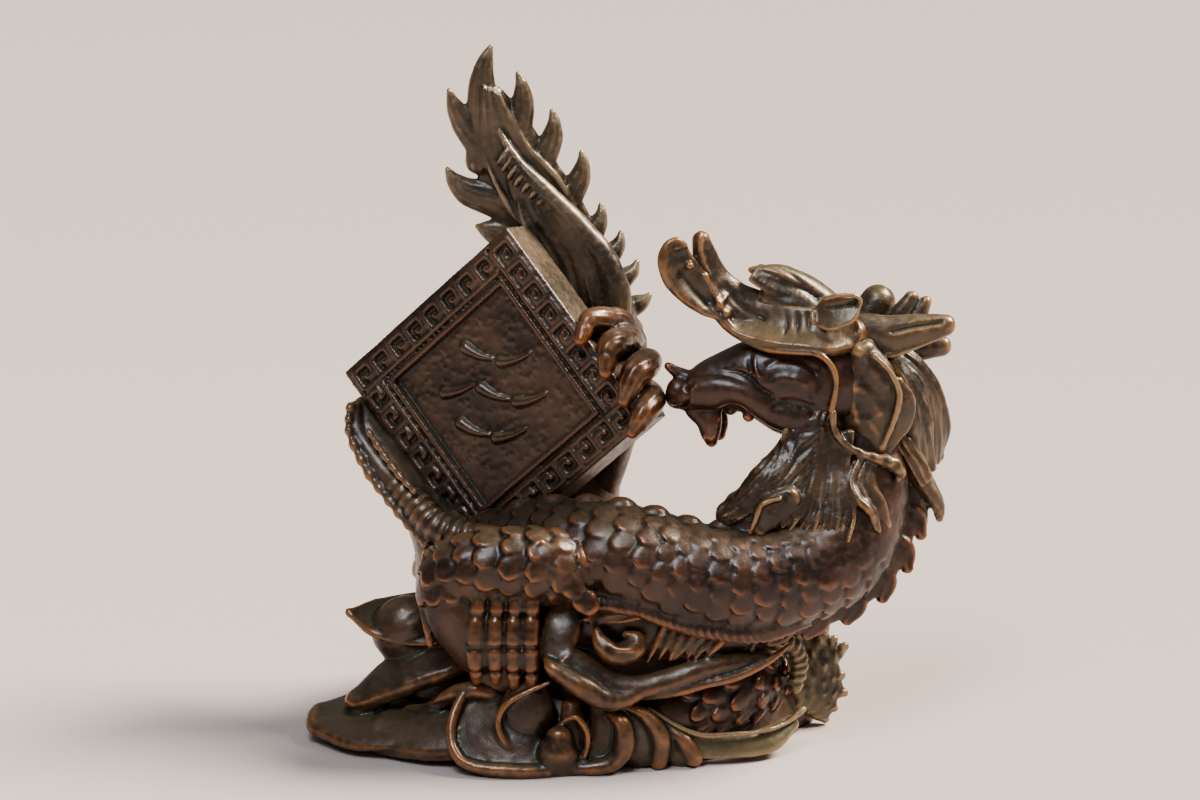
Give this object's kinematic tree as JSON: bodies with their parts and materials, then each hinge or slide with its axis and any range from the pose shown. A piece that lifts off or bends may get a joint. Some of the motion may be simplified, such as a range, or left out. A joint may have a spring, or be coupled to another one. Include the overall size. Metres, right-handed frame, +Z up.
{
  "type": "dragon sculpture",
  "caption": "Small cast-metal dragon coiled on a scrolled cloud-and-wave base, its claws holding a square fret-bordered tablet on one corner, tail raised as a flame",
  "frame": {"origin": "centre of the bounding box in plan, on the flat underside of the base", "axes": "+Z up; -Y is the show side, with the tablet's face and the near side of the head; +X is towards the head and mane, and the flame tail is to the left of the head; the longest extent is along Z"},
  "size_m": [0.0792, 0.0414, 0.083],
  "materials": {
    "bronze": "dark brown patinated copper-bronze, semi-gloss, rubbed to reddish copper on the high points, green in the recesses"
  },
  "bodies": {
    "root": {"dragon_casting": "bronze"}
  },
  "joints": []
}
